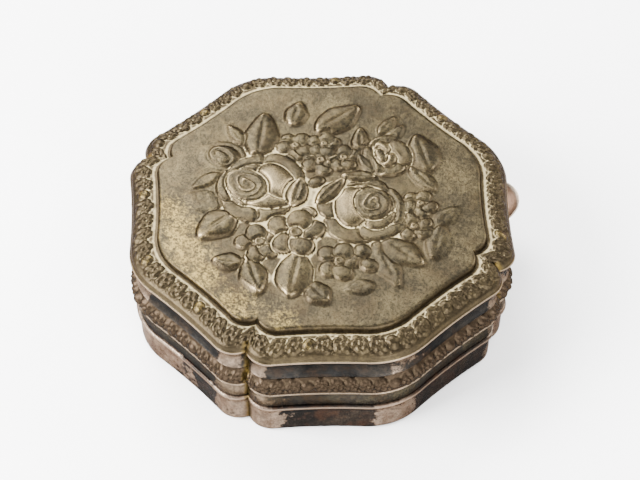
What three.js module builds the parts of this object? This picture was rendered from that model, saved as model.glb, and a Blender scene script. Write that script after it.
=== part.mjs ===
// Silver-plated trinket box: a shallow tray and a deep lift-off lid with a repousse bouquet.
// Millimetres, +Z up, the underside on Z = 0. The thumb-piece faces -Y.
import * as THREE from 'three';
import { mergeVertices } from 'three/addons/utils/BufferGeometryUtils.js';

// Plan outline of the rim: four round corners on the X and Y axes, four notches between them
const acrossCorners = 104;
const cornerRadius = 18.7;
const sideHollowRadius = 172;
const shoulderRadius = 6.3;
const shoulderSpread = 9.6;

// Heights of the stacked parts
const trayHeight = 10.2;
const bandHeight = 11.1;
const neckHeight = 6.9;
const flangeHeight = 2.5;
const borderRise = 1.7;
const panelRise = 1.4;

// Sheet metal
const wall = 1.2;
const floorThickness = 1.4;
const topThickness = 1.2;

// Gaps and the bezel that keeps the lid in place
const seamGap = 0.3;
const bezelClearance = 0.35;
const bezelThickness = 1.1;
const bezelRise = 2.6;

// Set-backs from the rim, measured inwards on a round corner's axis
const trayFootInset = 2.3;
const trayLipInset = 1.2;
const seamInset = 1.7;
const bandBulgeInset = 0.5;
const neckInset = 1.8;
const borderOuterInset = 1.1;
const borderInnerInset = 6;
const panelInset = 7.7;

// Relief
const borderBeadHeight = 1.1;
const bandBeadHeight = 0.6;
const bouquetHeight = 2;
const panelCrown = 0.5;

// Thumb-piece
const thumbWidth = 15;
const thumbReach = 7.4;
const thumbThickness = 1.1;
const thumbLift = 2.2;

// Steps around the outline: a fine ring has every step, a coarse one only those that its curves need
const stepsPerEighth = 16;
const coarseSteps = [0, 2, 4, 9, 12, 13, 14, 15];
const ringSteps = stepsPerEighth * 8;

const half = acrossCorners / 2;

function arcPoints(centre, radius, fromAngle, toAngle, count) {
  const points = [];
  for (let i = 0; i <= count; i += 1) {
    const angle = fromAngle + ((toAngle - fromAngle) * i) / count;
    points.push(new THREE.Vector2(centre.x + radius * Math.cos(angle), centre.y + radius * Math.sin(angle)));
  }
  return points;
}

function evenlySpaced(points, steps) {
  const along = [0];
  for (let i = 1; i < points.length; i += 1) along.push(along[i - 1] + points[i].distanceTo(points[i - 1]));
  const total = along[along.length - 1];
  const spaced = [];
  let span = 0;
  for (let k = 0; k <= steps; k += 1) {
    const target = (total * k) / steps;
    while (span < points.length - 2 && along[span + 1] < target) span += 1;
    const share = (target - along[span]) / (along[span + 1] - along[span]);
    spaced.push(points[span].clone().lerp(points[span + 1], share));
  }
  return spaced;
}

// One eighth of the rim, from the round corner on +X to the notch at 45 degrees
function eighthOutline() {
  const diagonal = new THREE.Vector2(Math.SQRT1_2, Math.SQRT1_2);
  const across = new THREE.Vector2(Math.SQRT1_2, -Math.SQRT1_2);
  const corner = new THREE.Vector2(half - cornerRadius, 0);
  const shoulder = diagonal.clone().multiplyScalar(half - shoulderRadius).addScaledVector(across, shoulderSpread / 2);
  // The hollow side is an arc whose centre lies outside, touching both round stretches
  const toCorner = sideHollowRadius + cornerRadius;
  const toShoulder = sideHollowRadius + shoulderRadius;
  const chord = shoulder.clone().sub(corner);
  const apart = chord.length();
  const along = (toCorner ** 2 - toShoulder ** 2 + apart ** 2) / (2 * apart);
  const offset = Math.sqrt(toCorner ** 2 - along ** 2);
  const chordUnit = chord.clone().normalize();
  const outward = new THREE.Vector2(chordUnit.y, -chordUnit.x);
  const hollow = corner.clone().addScaledVector(chordUnit, along).addScaledVector(outward, offset);
  const cornerEnd = hollow.clone().sub(corner).angle();
  const hollowStart = corner.clone().sub(hollow).angle();
  const hollowEnd = shoulder.clone().sub(hollow).angle();
  const shoulderStart = hollow.clone().sub(shoulder).angle();
  const cusp = Math.PI / 4 + Math.asin(shoulderSpread / 2 / shoulderRadius);
  const dense = [
    ...arcPoints(corner, cornerRadius, 0, cornerEnd, 40),
    ...arcPoints(hollow, sideHollowRadius, hollowStart, hollowEnd, 60).slice(1),
    ...arcPoints(shoulder, shoulderRadius, shoulderStart, cusp, 40).slice(1),
  ];
  return evenlySpaced(dense, stepsPerEighth);
}

function rimOutline() {
  const eighth = eighthOutline();
  const outline = [];
  for (let quarter = 0; quarter < 4; quarter += 1) {
    const mirrored = eighth.map((p) => new THREE.Vector2(p.y, p.x)).reverse();
    const stretch = [...eighth.slice(0, -1), ...mirrored.slice(0, -1)];
    const turn = (quarter * Math.PI) / 2;
    for (const p of stretch) outline.push(p.clone().rotateAround(new THREE.Vector2(), turn));
  }
  return outline;
}

const rim = rimOutline();

function fineIndices() {
  return rim.map((_, index) => index);
}

function coarseIndices() {
  const indices = [];
  for (let quarter = 0; quarter < 4; quarter += 1) {
    const start = quarter * 2 * stepsPerEighth;
    for (const step of coarseSteps) indices.push(start + step);
    for (const step of [stepsPerEighth, ...coarseSteps.slice(1).reverse().map((s) => 2 * stepsPerEighth - s)]) {
      indices.push(start + step);
    }
  }
  return indices;
}

const FINE = fineIndices();
const COARSE = coarseIndices();

// A level of a wall: where the outline stands at one height, with an optional raised pattern
function level(inset, z, indices = COARSE, bump = null) {
  return { inset, z, indices, bump };
}

function levelPoint(ring, index) {
  const raised = ring.bump ? ring.bump(index) : { out: 0, up: 0 };
  const scale = 1 - (ring.inset - raised.out) / half;
  const p = rim[index % ringSteps];
  return new THREE.Vector3(p.x * scale, p.y * scale, ring.z + raised.up);
}

// Joins two rings with triangles, whichever steps each of them has
function stitch(lower, upper, triangles) {
  const a = lower.indices;
  const b = upper.indices;
  const stepOf = (list, k) => (k < list.length ? list[k] : list[k - list.length] + ringSteps);
  let i = 0;
  let j = 0;
  while (i < a.length || j < b.length) {
    const p = levelPoint(lower, stepOf(a, i));
    const q = levelPoint(upper, stepOf(b, j));
    const nextA = i < a.length ? stepOf(a, i + 1) : Infinity;
    const nextB = j < b.length ? stepOf(b, j + 1) : Infinity;
    if (nextA <= nextB) {
      triangles.push(p, levelPoint(lower, nextA), q);
      i += 1;
    } else {
      triangles.push(p, levelPoint(upper, nextB), q);
      j += 1;
    }
  }
}

function closeFlat(ring, triangles, facesUp) {
  const centre = new THREE.Vector3(0, 0, ring.z);
  ring.indices.forEach((index, k) => {
    const next = ring.indices[(k + 1) % ring.indices.length];
    const pair = [levelPoint(ring, index), levelPoint(ring, next)];
    triangles.push(centre, ...(facesUp ? pair : pair.reverse()));
  });
}

function stitchAll(rings, triangles, closed = false) {
  for (let k = 0; k + 1 < rings.length; k += 1) stitch(rings[k], rings[k + 1], triangles);
  if (closed) stitch(rings[rings.length - 1], rings[0], triangles);
}

function solid(name, triangles, colour, roughness) {
  const geometry = new THREE.BufferGeometry().setFromPoints(triangles);
  const merged = mergeVertices(geometry, 1e-4);
  merged.computeVertexNormals();
  const material = new THREE.MeshStandardMaterial({ color: colour, roughness, metalness: 1, flatShading: true });
  const mesh = new THREE.Mesh(merged, material);
  mesh.name = name;
  return mesh;
}

// A row of blossoms, one bead to every second step; odd and even rows stand staggered
function beads(height, row, tilt) {
  return (index) => {
    const raised = (index + row) % 2 === 0 ? height : 0;
    return { out: raised * Math.sin(tilt), up: raised * Math.cos(tilt) };
  };
}

const bandFoot = trayHeight + seamGap;
const bandTop = bandFoot + bandHeight;
const coverFoot = bandTop + seamGap;
const flangeFoot = coverFoot + neckHeight;
const flangeTop = flangeFoot + flangeHeight;
const grooveFloor = flangeTop + borderRise;
const panelTop = grooveFloor + panelRise;
const bandInner = seamInset + wall;
const bezelOuter = bandInner + bezelClearance;
const bezelInner = bezelOuter + bezelThickness;

function buildTray() {
  const triangles = [];
  const foot = level(trayFootInset + 0.8, 0);
  const inside = level(bezelInner, floorThickness);
  const rings = [
    foot,
    level(trayFootInset, 0.8),
    level(trayFootInset - 0.3, trayHeight - 1.6),
    level(trayLipInset, trayHeight - 1),
    level(trayLipInset, trayHeight - 0.3),
    level(trayLipInset + 0.4, trayHeight),
    level(bezelOuter, trayHeight),
    level(bezelOuter, trayHeight + bezelRise),
    level(bezelInner, trayHeight + bezelRise),
    inside,
  ];
  stitchAll(rings, triangles);
  closeFlat(foot, triangles, false);
  closeFlat(inside, triangles, true);
  return solid('tray', triangles, 0x8f857c, 0.35);
}

function buildBand() {
  const triangles = [];
  const mouldingFoot = bandFoot + bandHeight * 0.47;
  const mouldingMiddle = bandFoot + bandHeight * 0.72;
  const sideways = Math.PI / 2;
  const rings = [
    level(seamInset + 0.3, bandFoot),
    level(seamInset, bandFoot + 0.4),
    level(seamInset + 0.2, mouldingFoot - 0.4),
    level(seamInset - 0.5, mouldingFoot, FINE),
    level(bandBulgeInset + 0.5, (mouldingFoot + mouldingMiddle) / 2, FINE, beads(bandBeadHeight, 0, sideways)),
    level(bandBulgeInset, mouldingMiddle, FINE),
    level(bandBulgeInset + 0.3, (mouldingMiddle + bandTop) / 2, FINE, beads(bandBeadHeight, 1, sideways)),
    level(seamInset + 0.1, bandTop),
    level(bandInner, bandTop),
    level(bandInner, bandFoot),
  ];
  stitchAll(rings, triangles, true);
  return solid('lid_band', triangles, 0x857c70, 0.4);
}

// The bouquet: each form is a domed patch with its place, its half length, half width and turn
const bouquetRoses = [
  { x: -7, y: -8.6, size: 10 },
  { x: 9.6, y: 13.4, size: 10 },
  { x: 8, y: -22.3, size: 7 },
  { x: 24.6, y: 17.6, size: 5.6 },
];

const bouquetBlossoms = [
  { x: -8, y: 10.4, size: 7.8 },
  { x: -7.3, y: 20.6, size: 6.2 },
  { x: -20.7, y: 3.6, size: 6.8 },
  { x: -17.3, y: -18.9, size: 5.4 },
  { x: -10.6, y: -23.6, size: 5 },
  { x: 13.2, y: -5.4, size: 5.6 },
  { x: 11.8, y: -11.4, size: 4.8 },
  { x: 20.6, y: -1.4, size: 5.4 },
  { x: 18.4, y: -8.6, size: 4.4 },
];

// Leaves: place of the middle, length, width and the turn of the tip from +X in degrees
const bouquetLeaves = [
  [-16.3, 25.6, 13.5, 7.4, -6],
  [-10, 30, 8.5, 6, 62],
  [-20.2, 15.7, 15, 9.5, -33],
  [-28, 13, 9, 6.4, 18],
  [-30.6, 2, 8, 5.5, 80],
  [-26, -7.4, 18, 6.8, 178],
  [-24.2, -12.8, 13.5, 8, 208],
  [-24, -22.6, 13, 6.4, -36],
  [-16.8, -28.4, 9, 5.4, -68],
  [-2, -27.8, 12.5, 5.2, 14],
  [5.6, -31.6, 14, 9, -8],
  [15.3, -28, 6, 3.6, -62],
  [18.4, -26.8, 8, 3.8, -58],
  [15.8, -18, 9.5, 4.8, -24],
  [25.4, -15.6, 14, 8.4, -74],
  [31.4, -6, 8.6, 6, -38],
  [27.4, 5.6, 16.5, 9, -30],
  [30.4, 11.6, 8, 3.6, 8],
  [18.2, 25, 9, 4.2, 105],
  [11.8, 28.2, 10, 8, 40],
  [2.6, 28, 12.5, 9.4, 74],
  [4.6, 4.8, 11, 6.2, -38],
  [1.8, -3.6, 12, 5.4, -62],
  [4.2, -12.4, 9, 4, 66],
  [6.4, -1.4, 5, 3.8, -80],
  [8, -16, 7, 2.8, 8],
];

const petalsPerBlossom = 5;

function domedPatch(x, y, halfLength, halfWidth, turn, base, dome, taper) {
  return { x, y, halfLength, halfWidth, cos: Math.cos(turn), sin: Math.sin(turn), base, dome, taper };
}

function rosePatches({ x, y, size }) {
  const patches = [];
  const whorls = [
    { petals: 5, distance: 0.58, petal: 0.46, base: 0.15, start: 0.3 },
    { petals: 3, distance: 0.27, petal: 0.4, base: 0.45, start: 1.2 },
  ];
  for (const whorl of whorls) {
    for (let k = 0; k < whorl.petals; k += 1) {
      const angle = whorl.start + (k * 2 * Math.PI) / whorl.petals;
      const px = x + whorl.distance * size * Math.cos(angle);
      const py = y + whorl.distance * size * Math.sin(angle);
      const width = whorl.petal * size;
      patches.push(domedPatch(px, py, width * 1.1, width * 0.9, angle + Math.PI / 2, whorl.base, 0.5, 0));
    }
  }
  patches.push(domedPatch(x, y, size * 0.24, size * 0.2, 0.8, 0.8, 0.3, 0));
  return patches;
}

function blossomPatches({ x, y, size }) {
  const patches = [];
  for (let k = 0; k < petalsPerBlossom; k += 1) {
    const angle = 0.75 + (k * 2 * Math.PI) / petalsPerBlossom;
    const distance = size * 0.6;
    const px = x + distance * Math.cos(angle);
    const py = y + distance * Math.sin(angle);
    patches.push(domedPatch(px, py, size * 0.42, size * 0.38, angle, 0.1, 0.6, 0));
  }
  patches.push(domedPatch(x, y, size * 0.22, size * 0.22, 0, 0.3, 0.4, 0));
  return patches;
}

function leafPatches([x, y, length, width, turn]) {
  return [domedPatch(x, y, length / 2, width / 2, THREE.MathUtils.degToRad(turn), 0, 0.55, 0.45)];
}

const patches = [
  ...bouquetRoses.flatMap(rosePatches),
  ...bouquetBlossoms.flatMap(blossomPatches),
  ...bouquetLeaves.flatMap(leafPatches),
];

// How far a point lies from a patch's middle: 0 in the middle, 1 on its outline
function patchReach(patch, x, y) {
  const dx = x - patch.x;
  const dy = y - patch.y;
  const u = (dx * patch.cos + dy * patch.sin) / patch.halfLength;
  const v = (dy * patch.cos - dx * patch.sin) / (patch.halfWidth * (1 - patch.taper * u * Math.abs(u) * 0.5));
  return Math.hypot(u * (1 + patch.taper * 0.2 * Math.abs(u)), v);
}

function patchHeight(patch, x, y) {
  const reach = patchReach(patch, x, y);
  if (reach >= 1) return 0;
  return patch.base + patch.dome * Math.sqrt(1 - reach * reach);
}

function bouquetRelief(x, y) {
  let highest = 0;
  for (const patch of patches) highest = Math.max(highest, patchHeight(patch, x, y));
  return highest * bouquetHeight;
}

function panelHeight(x, y) {
  const spread = Math.hypot(x, y) / (half - panelInset);
  const crown = panelCrown * Math.max(0, 1 - spread * spread);
  return panelTop + crown + bouquetRelief(x, y);
}

function patchOutline(patch, share, spacing) {
  const around = Math.PI * (patch.halfLength + patch.halfWidth) * share;
  const count = Math.max(6, Math.round(around / spacing));
  const points = [];
  for (let k = 0; k < count; k += 1) {
    const angle = (k * 2 * Math.PI) / count;
    const u = patch.halfLength * share * Math.cos(angle);
    const squeeze = 1 - patch.taper * Math.cos(angle) * Math.abs(Math.cos(angle)) * 0.5;
    const v = patch.halfWidth * share * Math.sin(angle) * squeeze;
    points.push(new THREE.Vector2(patch.x + u * patch.cos - v * patch.sin, patch.y + u * patch.sin + v * patch.cos));
  }
  return points;
}

function insidePanel(point, outline, margin) {
  let inside = false;
  let nearest = Infinity;
  outline.forEach((a, k) => {
    const b = outline[(k + 1) % outline.length];
    const crosses = a.y > point.y !== b.y > point.y;
    if (crosses && point.x < ((b.x - a.x) * (point.y - a.y)) / (b.y - a.y) + a.x) inside = !inside;
    nearest = Math.min(nearest, a.distanceTo(point));
  });
  return inside && nearest >= margin;
}

// Points where the panel's forms need them, none closer together than the given spacing
function panelPoints(outline) {
  const closest = 1.15;
  const plainSpacing = 7;
  const chosen = [];
  const tryPoint = (point, apart) => {
    if (chosen.some((other) => other.distanceTo(point) < apart)) return;
    if (insidePanel(point, outline, 2)) chosen.push(point);
  };
  const highestFirst = [...patches].sort((a, b) => b.base + b.dome - a.base - a.dome);
  for (const patch of highestFirst) tryPoint(new THREE.Vector2(patch.x, patch.y), closest);
  for (const share of [1.03, 0.68]) {
    for (const patch of highestFirst) {
      for (const point of patchOutline(patch, share, 2.1)) {
        const hidden = bouquetRelief(point.x, point.y) > (patch.base + patch.dome) * bouquetHeight;
        if (!hidden) tryPoint(point, closest);
      }
    }
  }
  for (let x = -half; x <= half; x += plainSpacing) {
    for (let y = -half; y <= half; y += plainSpacing) {
      const sway = 0.37 * Math.sin(x * 1.7 + y * 0.9);
      tryPoint(new THREE.Vector2(x + sway, y - sway), plainSpacing * 0.45);
    }
  }
  return chosen;
}

function circumcircle(a, b, c) {
  const d = 2 * (a.x * (b.y - c.y) + b.x * (c.y - a.y) + c.x * (a.y - b.y));
  const a2 = a.lengthSq();
  const b2 = b.lengthSq();
  const c2 = c.lengthSq();
  const x = (a2 * (b.y - c.y) + b2 * (c.y - a.y) + c2 * (a.y - b.y)) / d;
  const y = (a2 * (c.x - b.x) + b2 * (a.x - c.x) + c2 * (b.x - a.x)) / d;
  return { x, y, r2: (a.x - x) ** 2 + (a.y - y) ** 2 };
}

// Delaunay triangles over the points, one point added at a time
function triangulate(points) {
  const far = acrossCorners * 20;
  const all = [...points, new THREE.Vector2(-far, -far), new THREE.Vector2(far, -far), new THREE.Vector2(0, far)];
  const count = points.length;
  let triangles = [{ v: [count, count + 1, count + 2], circle: circumcircle(all[count], all[count + 1], all[count + 2]) }];
  points.forEach((point, index) => {
    const kept = [];
    const edges = new Map();
    for (const triangle of triangles) {
      const { circle } = triangle;
      if ((point.x - circle.x) ** 2 + (point.y - circle.y) ** 2 >= circle.r2) {
        kept.push(triangle);
      } else {
        for (let k = 0; k < 3; k += 1) {
          const a = triangle.v[k];
          const b = triangle.v[(k + 1) % 3];
          if (edges.has(`${b},${a}`)) edges.delete(`${b},${a}`);
          else edges.set(`${a},${b}`, [a, b]);
        }
      }
    }
    for (const [a, b] of edges.values()) kept.push({ v: [a, b, index], circle: circumcircle(all[a], all[b], point) });
    triangles = kept;
  });
  return triangles.map((t) => t.v).filter((v) => v.every((k) => k < count));
}

function buildPanel(edge, triangles) {
  const ring = edge.indices.map((index) => levelPoint(edge, index));
  const outline = ring.map((p) => new THREE.Vector2(p.x, p.y));
  const inner = panelPoints(outline);
  const flat = [...outline, ...inner];
  const raised = [...ring, ...inner.map((p) => new THREE.Vector3(p.x, p.y, panelHeight(p.x, p.y)))];
  for (const [a, b, c] of triangulate(flat)) {
    const middle = flat[a].clone().add(flat[b]).add(flat[c]).divideScalar(3);
    if (insidePanel(middle, outline, 0)) triangles.push(raised[a], raised[b], raised[c]);
  }
}

function buildCover() {
  const triangles = [];
  const slope = 0.45;
  const borderRow = (share, beading = null) => level(
    borderOuterInset + (borderInnerInset - borderOuterInset) * share,
    flangeTop + borderRise * Math.sin((Math.PI / 2) * share),
    FINE,
    beading,
  );
  const panelEdge = level(panelInset + 0.3, panelTop, FINE);
  const outer = [
    level(neckInset - 0.2, coverFoot),
    level(neckInset, coverFoot + neckHeight * 0.4),
    level(neckInset - 0.6, flangeFoot - 0.4),
    level(0.2, flangeFoot),
    level(0, flangeFoot + 0.7),
    level(borderOuterInset - 0.2, flangeTop - 0.3),
    borderRow(0),
    borderRow(0.27, beads(borderBeadHeight, 0, slope)),
    borderRow(0.52),
    borderRow(0.78, beads(borderBeadHeight, 1, slope)),
    borderRow(1.08),
    level(panelInset, grooveFloor + 0.1, FINE),
    panelEdge,
  ];
  stitchAll(outer, triangles);
  buildPanel(panelEdge, triangles);
  const ceiling = level(panelInset + 2, panelTop - topThickness);
  const inner = [
    ceiling,
    level(panelInset + 1.6, grooveFloor - topThickness),
    level(borderInnerInset, grooveFloor - topThickness),
    level(neckInset + wall, flangeTop - topThickness),
    level(neckInset + wall, coverFoot),
    outer[0],
  ];
  stitchAll(inner, triangles);
  closeFlat(ceiling, triangles, false);
  return solid('lid_cover', triangles, 0x8c8068, 0.45);
}

// A scooped half-round lip on the front of the band, just above the seam
function buildThumbPiece() {
  const columns = 12;
  const rows = 4;
  const rootZ = bandFoot + 1.4;
  const bandFace = half - seamInset + seamGap;
  const pointAt = (i, j, depth) => {
    const across = (2 * i) / columns - 1;
    const outwards = j / rows;
    const x = (across * thumbWidth) / 2;
    const wallDrop = cornerRadius - Math.sqrt(cornerRadius ** 2 - x * x);
    const reach = thumbReach * Math.sqrt(1 - (0.96 * across) ** 2) + wallDrop * 0.6;
    const lift = thumbLift * outwards ** 2;
    return new THREE.Vector3(x, -(bandFace - wallDrop + reach * outwards), rootZ + lift + depth);
  };
  const triangles = [];
  const quad = (a, b, c, d) => triangles.push(a, b, c, a, c, d);
  for (let i = 0; i < columns; i += 1) {
    for (let j = 0; j < rows; j += 1) {
      const top = [[i, j], [i, j + 1], [i + 1, j + 1], [i + 1, j]].map(([a, b]) => pointAt(a, b, thumbThickness));
      const under = [[i, j], [i + 1, j], [i + 1, j + 1], [i, j + 1]].map(([a, b]) => pointAt(a, b, 0));
      quad(...top);
      quad(...under);
    }
  }
  const edge = [];
  for (let i = 0; i < columns; i += 1) edge.push([i, 0]);
  for (let j = 0; j < rows; j += 1) edge.push([columns, j]);
  for (let i = columns; i > 0; i -= 1) edge.push([i, rows]);
  for (let j = rows; j > 0; j -= 1) edge.push([0, j]);
  edge.forEach(([i, j], k) => {
    const [m, n] = edge[(k + 1) % edge.length];
    quad(pointAt(i, j, 0), pointAt(i, j, thumbThickness), pointAt(m, n, thumbThickness), pointAt(m, n, 0));
  });
  return solid('thumb_piece', triangles, 0xa08070, 0.4);
}

const box = new THREE.Group();
box.name = 'trinket_box';
box.add(buildTray(), buildBand(), buildCover(), buildThumbPiece());

export default box;
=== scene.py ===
"""A silver-plated trinket box with a repousse bouquet on its lift-off lid, dressed over its CAD frame."""
import logging
import math
from dataclasses import dataclass
from enum import Enum

import bpy
import numpy as np
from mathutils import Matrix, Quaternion, Vector


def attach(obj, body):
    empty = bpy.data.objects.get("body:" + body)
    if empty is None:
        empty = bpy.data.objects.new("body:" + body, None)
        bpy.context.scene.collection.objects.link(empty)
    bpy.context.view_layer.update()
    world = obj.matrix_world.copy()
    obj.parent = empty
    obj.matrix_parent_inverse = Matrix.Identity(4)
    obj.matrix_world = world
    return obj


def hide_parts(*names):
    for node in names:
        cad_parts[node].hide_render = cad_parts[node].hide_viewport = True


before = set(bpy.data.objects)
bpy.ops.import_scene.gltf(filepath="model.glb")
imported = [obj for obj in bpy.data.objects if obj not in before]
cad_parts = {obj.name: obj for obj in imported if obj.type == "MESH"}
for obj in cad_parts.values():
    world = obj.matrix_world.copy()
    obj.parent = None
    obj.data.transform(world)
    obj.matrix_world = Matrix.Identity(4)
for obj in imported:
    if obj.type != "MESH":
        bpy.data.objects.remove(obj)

logging.basicConfig(level=logging.INFO, format="%(message)s")
log = logging.getLogger("trinket_box")

MM = 0.001
TURN = 2 * math.pi

# Edges that turn by more than this stay sharp.
SHARP_ANGLE = math.radians(50)


# Sizes that the pieces share with the CAD model

@dataclass(frozen=True)
class BoxSizes:
    """Heights, sheet thickness and set-backs from the rim, in millimetres."""

    tray_height: float = 10.2
    band_height: float = 11.1
    neck_height: float = 6.9
    flange_height: float = 2.5
    border_rise: float = 1.7
    panel_rise: float = 1.4
    wall: float = 1.2
    floor: float = 1.4
    top: float = 1.2
    seam_gap: float = 0.3
    bezel_clearance: float = 0.35
    bezel_thickness: float = 1.1
    bezel_rise: float = 2.6
    tray_foot_inset: float = 2.3
    tray_lip_inset: float = 1.2
    seam_inset: float = 1.7
    band_bulge_inset: float = 0.5
    neck_inset: float = 1.8
    border_outer_inset: float = 1.1
    border_inner_inset: float = 6.0
    panel_inset: float = 7.7
    panel_crown: float = 0.5

    @property
    def border_span(self) -> float:
        """Width of the ground under the flower border."""
        return self.border_inner_inset - self.border_outer_inset

    @property
    def band_foot(self) -> float:
        """Height of the band's lower edge, above the seam."""
        return self.tray_height + self.seam_gap

    @property
    def band_top(self) -> float:
        """Height of the band's upper edge."""
        return self.band_foot + self.band_height

    @property
    def cover_foot(self) -> float:
        """Height of the cover's lower edge."""
        return self.band_top + self.seam_gap

    @property
    def flange_foot(self) -> float:
        """Height of the rim's lower edge."""
        return self.cover_foot + self.neck_height

    @property
    def flange_top(self) -> float:
        """Height at which the flower border begins."""
        return self.flange_foot + self.flange_height

    @property
    def groove_floor(self) -> float:
        """Height of the groove between the border and the panel."""
        return self.flange_top + self.border_rise

    @property
    def panel_top(self) -> float:
        """Height of the panel's edge."""
        return self.groove_floor + self.panel_rise


@dataclass(frozen=True)
class RimOutline:
    """The plan outline: four round corners on the axes, hollow sides and four notches between them.

    Attributes:
        across_corners: size over two opposite round corners, in millimetres.
        corner_radius: radius of a round corner.
        side_hollow_radius: radius of the hollow beside it.
        shoulder_radius: radius of the small round on each side of a notch.
        shoulder_spread: distance between the centres of those two.
        arc_points: points on each of its arcs.
        samples: points with which places are compared.
    """

    across_corners: float = 104.0
    corner_radius: float = 18.7
    side_hollow_radius: float = 172.0
    shoulder_radius: float = 6.3
    shoulder_spread: float = 9.6
    arc_points: int = 240
    samples: int = 4096

    @property
    def half(self) -> float:
        """Distance of a round corner from the middle."""
        return self.across_corners / 2

    def scale(self, inset: float) -> float:
        """Share of the rim's size at an inset from it."""
        return 1 - inset / self.half

    def _eighth(self) -> np.ndarray:
        """The rim from the round corner on +X to the notch at 45 degrees.

        Returns:
            Closely spaced points, one row each.
        """
        diagonal = np.array([1, 1]) / math.sqrt(2)
        across = np.array([1, -1]) / math.sqrt(2)
        corner = np.array([self.half - self.corner_radius, 0])
        shoulder = diagonal * (self.half - self.shoulder_radius) + across * self.shoulder_spread / 2
        to_corner = self.side_hollow_radius + self.corner_radius
        to_shoulder = self.side_hollow_radius + self.shoulder_radius
        chord = shoulder - corner
        apart = float(np.hypot(*chord))
        along = (to_corner ** 2 - to_shoulder ** 2 + apart ** 2) / (2 * apart)
        offset = math.sqrt(to_corner ** 2 - along ** 2)
        unit = chord / apart
        hollow = corner + unit * along + np.array([unit[1], -unit[0]]) * offset

        def heading(origin: np.ndarray, target: np.ndarray) -> float:
            """Angle from one point to another, from 0 to a full turn."""
            return math.atan2(target[1] - origin[1], target[0] - origin[0]) % TURN

        cusp = math.pi / 4 + math.asin(self.shoulder_spread / 2 / self.shoulder_radius)
        arcs = (
            (corner, self.corner_radius, 0, heading(corner, hollow)),
            (hollow, self.side_hollow_radius, heading(hollow, corner), heading(hollow, shoulder)),
            (shoulder, self.shoulder_radius, heading(shoulder, hollow), cusp),
        )
        run = [corner + (self.corner_radius, 0)]
        for centre, radius, start, end in arcs:
            angle = np.linspace(start, end, self.arc_points)[1:]
            run.extend(centre + radius * np.c_[np.cos(angle), np.sin(angle)])
        return np.array(run)

    def points(self, steps: int) -> np.ndarray:
        """The whole rim in even steps, with a point on each corner's axis and in each notch.

        Args:
            steps: how many points, a multiple of 8.

        Returns:
            The points, one row each, anticlockwise from +X.
        """
        dense = self._eighth()
        run = np.r_[0, np.cumsum(np.hypot(*np.diff(dense, axis=0).T))]
        even = np.linspace(0, run[-1], steps // 8 + 1)
        eighth = np.c_[np.interp(even, run, dense[:, 0]), np.interp(even, run, dense[:, 1])]
        quarter = np.concatenate([eighth[:-1], eighth[::-1, ::-1][:-1]])
        turned = []
        for k in range(4):
            cos, sin = math.cos(k * math.pi / 2), math.sin(k * math.pi / 2)
            turned.append(quarter @ np.array([[cos, sin], [-sin, cos]]))
        return np.concatenate(turned)

    def measure(self, places: np.ndarray) -> tuple[np.ndarray, np.ndarray, np.ndarray]:
        """Where points stand in the rim's own terms.

        Args:
            places: points in millimetres, x and y in the first two columns.

        Returns:
            The inset of each point from the rim, its distance along the rim from +X,
            and its distance along the rim from the nearest notch.
        """
        rim = self.points(self.samples)
        closed = np.concatenate([rim, rim[:1]])
        run = np.r_[0, np.cumsum(np.hypot(*np.diff(closed, axis=0).T))]
        angle = np.r_[np.unwrap(np.arctan2(rim[:, 1], rim[:, 0])), TURN]
        turn = np.arctan2(places[:, 1], places[:, 0]) % TURN
        reach = np.interp(turn, angle, np.hypot(closed[:, 0], closed[:, 1]))
        along = np.interp(turn, angle, run)
        inset = self.half * (1 - np.hypot(places[:, 0], places[:, 1]) / reach)
        quarter = run[-1] / 4
        from_notch = np.abs(along % quarter - quarter / 2)
        return inset, along, from_notch

    def length(self) -> float:
        """Length of the rim."""
        rim = self.points(self.samples)
        return float(np.hypot(*(rim - np.roll(rim, 1, axis=0)).T).sum())

    def along_at(self, angle: float) -> float:
        """Distance along the rim from +X at an angle in degrees."""
        spot = np.array([[math.cos(math.radians(angle)), math.sin(math.radians(angle)), 0]])
        return float(self.measure(spot)[1][0])


SIZES = BoxSizes()
RIM = RimOutline()

# How near to its ring a point is found, in millimetres.
INSET_MARGIN = 0.03
HEIGHT_MARGIN = 0.01


# Modelling with Blender's own operators

@dataclass(frozen=True)
class Level:
    """One ring of a wall.

    Attributes:
        inset: how far inside the rim it stands, in millimetres.
        height: how high it stands, in millimetres.
        cuts: rings to add between the ring before it and this one.
        halved: whether every second point is dissolved.
    """

    inset: float
    height: float
    cuts: int = 0
    halved: bool = False


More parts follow.
